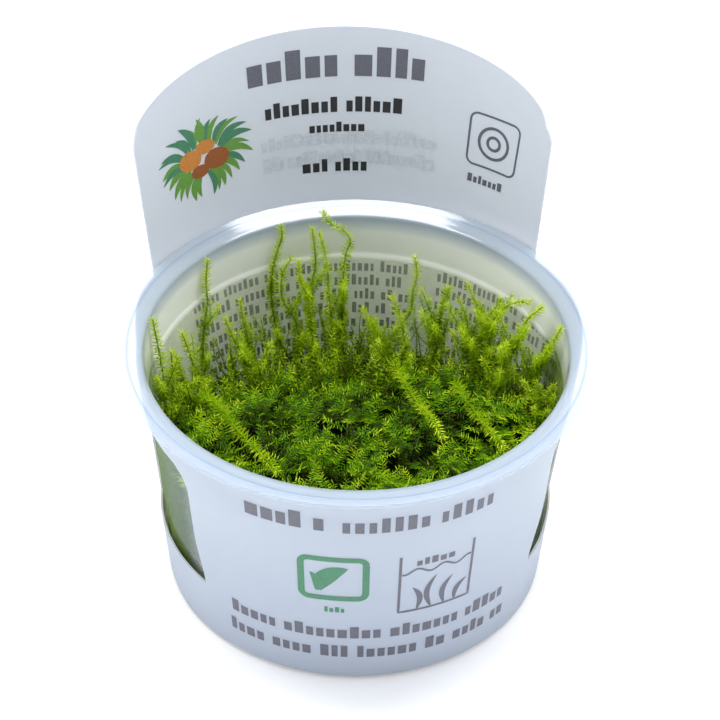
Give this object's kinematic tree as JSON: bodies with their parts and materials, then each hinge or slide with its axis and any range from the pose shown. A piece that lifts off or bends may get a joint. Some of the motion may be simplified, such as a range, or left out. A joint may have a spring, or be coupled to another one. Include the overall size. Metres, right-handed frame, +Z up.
{
  "type": "tissue culture moss tub",
  "caption": "Clear flanged cup packed with stringy green aquarium moss, in a card sleeve with side windows and a tall arched tab behind the rim.",
  "frame": {"origin": "middle of the cup's foot, on the surface that it stands on", "axes": "+Z up, -Y to the front of the sleeve, so the tall tab stands behind at +Y"},
  "size_m": [0.101, 0.1092, 0.0994],
  "materials": {
    "clear_cup": "gloss",
    "card": "satin",
    "moss": "matte",
    "moss_shoot": "matte"
  },
  "bodies": {
    "root": {"cup": "clear_cup", "label_sleeve": "card", "moss_cushion": "moss", "moss_shoot_01": "moss_shoot", "moss_shoot_02": "moss_shoot", "moss_shoot_03": "moss_shoot", "moss_shoot_04": "moss_shoot", "moss_shoot_05": "moss_shoot", "moss_shoot_06": "moss_shoot", "moss_shoot_07": "moss_shoot", "moss_shoot_08": "moss_shoot", "moss_shoot_09": "moss_shoot", "moss_shoot_10": "moss_shoot", "moss_shoot_11": "moss_shoot", "moss_shoot_12": "moss_shoot", "moss_shoot_13": "moss_shoot", "moss_shoot_14": "moss_shoot", "moss_shoot_15": "moss_shoot", "moss_shoot_16": "moss_shoot", "moss_shoot_17": "moss_shoot", "moss_shoot_18": "moss_shoot", "moss_shoot_19": "moss_shoot", "moss_shoot_20": "moss_shoot", "moss_shoot_21": "moss_shoot", "moss_shoot_22": "moss_shoot", "moss_shoot_23": "moss_shoot", "moss_shoot_24": "moss_shoot"}
  },
  "joints": []
}
